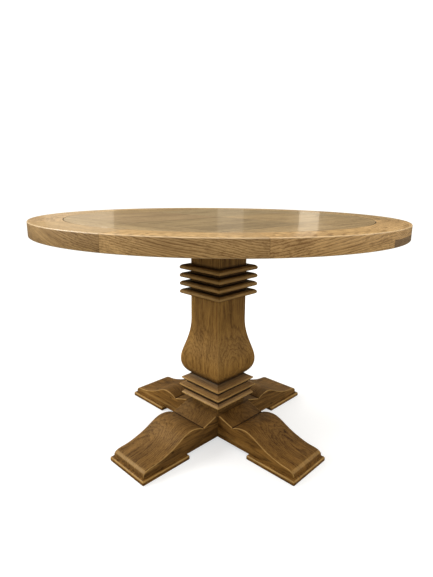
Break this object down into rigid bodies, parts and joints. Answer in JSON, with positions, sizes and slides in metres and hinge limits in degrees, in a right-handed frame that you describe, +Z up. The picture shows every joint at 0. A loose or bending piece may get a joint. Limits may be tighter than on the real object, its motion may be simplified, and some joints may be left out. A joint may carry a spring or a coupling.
{
  "type": "round pedestal table",
  "caption": "Round oak pedestal dining table: segmented rim and tiled panel on a square baluster column with collars and mouldings, crossed scrolled feet on flat pads.",
  "frame": {"origin": "on the floor, under the middle of the column, at the level of the undersides of the levelling glides", "axes": "+Z up; the feet point along +X, +Y, -X and -Y, and one joint of the rim lies on +X"},
  "size_m": [1.2, 1.2, 0.78],
  "materials": {
    "panel_oak": "satin lacquered oak, light and evenly sealed",
    "lune_oak": "satin lacquered oak, slightly lighter than the tiles",
    "ring_oak": "satin lacquered oak, ochre brown with wavy grain",
    "ring_dark_oak": "satin lacquered oak, dark brown lamination",
    "core_wood": "plain unfinished timber core",
    "bearer_oak": "planed oak, thin matt finish",
    "column_oak": "satin lacquered oak with upright grain",
    "collar_oak": "satin lacquered oak, worn lighter on the rounded edges",
    "moulding_oak": "satin lacquered oak, worn lighter on the edges",
    "foot_oak": "satin lacquered oak with lengthwise grain and lighter worn edges",
    "pad_oak": "satin lacquered oak, a little warmer than the feet",
    "zinc_steel": "dull zinc plating",
    "insert_brass": "plain turned brass"
  },
  "bodies": {
    "table": {"base_moulding_lower": "moulding_oak", "base_moulding_middle": "moulding_oak", "base_moulding_upper": "moulding_oak", "bearer_screw_0": "zinc_steel", "bearer_screw_1": "zinc_steel", "bearer_screw_2": "zinc_steel", "bearer_screw_3": "zinc_steel", "bearer_x": "bearer_oak", "bearer_y": "bearer_oak", "column_collar_0": "collar_oak", "column_collar_1": "collar_oak", "column_collar_2": "collar_oak", "column_collar_3": "collar_oak", "column_plug_bottom": "core_wood", "column_plug_top": "core_wood", "column_stave_0": "column_oak", "column_stave_1": "column_oak", "column_stave_2": "column_oak", "column_stave_3": "column_oak", "foot_beam_x": "foot_oak", "foot_beam_y": "foot_oak", "foot_pad_0": "pad_oak", "foot_pad_1": "pad_oak", "foot_pad_2": "pad_oak", "foot_pad_3": "pad_oak", "glide_insert_0": "insert_brass", "glide_insert_1": "insert_brass", "glide_insert_2": "insert_brass", "glide_insert_3": "insert_brass", "panel_lune_0_a": "lune_oak", "panel_lune_0_b": "lune_oak", "panel_lune_1_a": "lune_oak", "panel_lune_1_b": "lune_oak", "panel_lune_2_a": "lune_oak", "panel_lune_2_b": "lune_oak", "panel_lune_3_a": "lune_oak", "panel_lune_3_b": "lune_oak", "panel_tile_0": "panel_oak", "panel_tile_1": "panel_oak", "panel_tile_2": "panel_oak", "panel_tile_3": "panel_oak", "ring_segment_0_lower": "ring_dark_oak", "ring_segment_0_upper": "ring_oak", "ring_segment_1": "ring_oak", "ring_segment_2": "ring_oak", "ring_segment_3": "ring_oak", "ring_segment_4": "ring_oak", "ring_segment_5": "ring_oak", "ring_segment_6": "ring_oak", "ring_segment_7": "ring_oak", "ring_segment_8": "ring_oak", "ring_segment_9": "ring_oak", "tie_nut_lower": "zinc_steel", "tie_nut_upper": "zinc_steel", "tie_rod": "zinc_steel", "top_core": "core_wood"},
    "glide_0": {"levelling_glide_0": "zinc_steel"},
    "glide_1": {"levelling_glide_1": "zinc_steel"},
    "glide_2": {"levelling_glide_2": "zinc_steel"},
    "glide_3": {"levelling_glide_3": "zinc_steel"}
  },
  "joints": [
    {"name": "glide_0_level", "type": "slide", "parent": "table", "child": "glide_0", "axis": [0, 0, -1], "range_m": [0, 0.01]},
    {"name": "glide_1_level", "type": "slide", "parent": "table", "child": "glide_1", "axis": [0, 0, -1], "range_m": [0, 0.01]},
    {"name": "glide_2_level", "type": "slide", "parent": "table", "child": "glide_2", "axis": [0, 0, -1], "range_m": [0, 0.01]},
    {"name": "glide_3_level", "type": "slide", "parent": "table", "child": "glide_3", "axis": [0, 0, -1], "range_m": [0, 0.01]}
  ]
}
